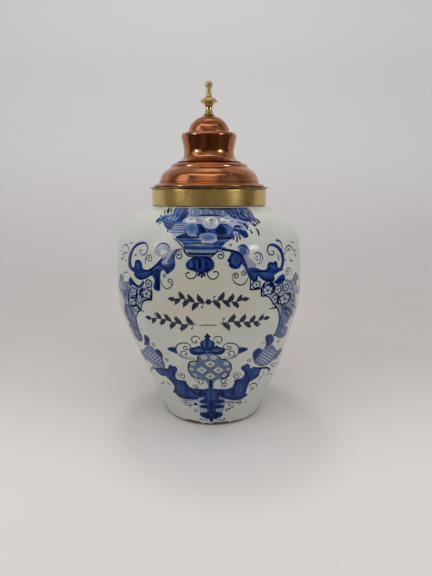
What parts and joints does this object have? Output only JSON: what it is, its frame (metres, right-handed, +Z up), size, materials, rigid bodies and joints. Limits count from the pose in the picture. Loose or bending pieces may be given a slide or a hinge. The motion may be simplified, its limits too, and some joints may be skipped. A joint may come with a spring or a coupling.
{
  "type": "tobacco jar",
  "caption": "Shouldered ovoid earthenware storage jar with a painted front, and a slip-over domed metal lid with a turned finial.",
  "frame": {"origin": "on the surface that the jar stands on, under the axis of the neck and the lid", "axes": "+Z up along the axis of the neck, -Y towards the painted front, +X to the right of someone who looks at that front"},
  "size_m": [0.209, 0.209, 0.3698],
  "materials": {
    "glazed_earthenware": "glossy greenish-white tin glaze with blue painted ornament on the front, worn brown at the foot",
    "copper": "polished raised copper sheet, warm brown with light wear",
    "brass": "worn polished brass, greenish tarnish in the corners"
  },
  "bodies": {
    "jar": {"jar_body": "glazed_earthenware"},
    "lid": {"collar_band": "brass", "seat_ring": "brass", "lower_dome": "copper", "drum": "copper", "cap_dome": "copper", "finial": "brass", "finial_washer": "brass", "finial_nut": "brass"}
  },
  "joints": [
    {"name": "lid_lift", "type": "slide", "parent": "jar", "child": "lid", "axis": [0, 0, 1], "range_m": [0, 0.08]}
  ]
}
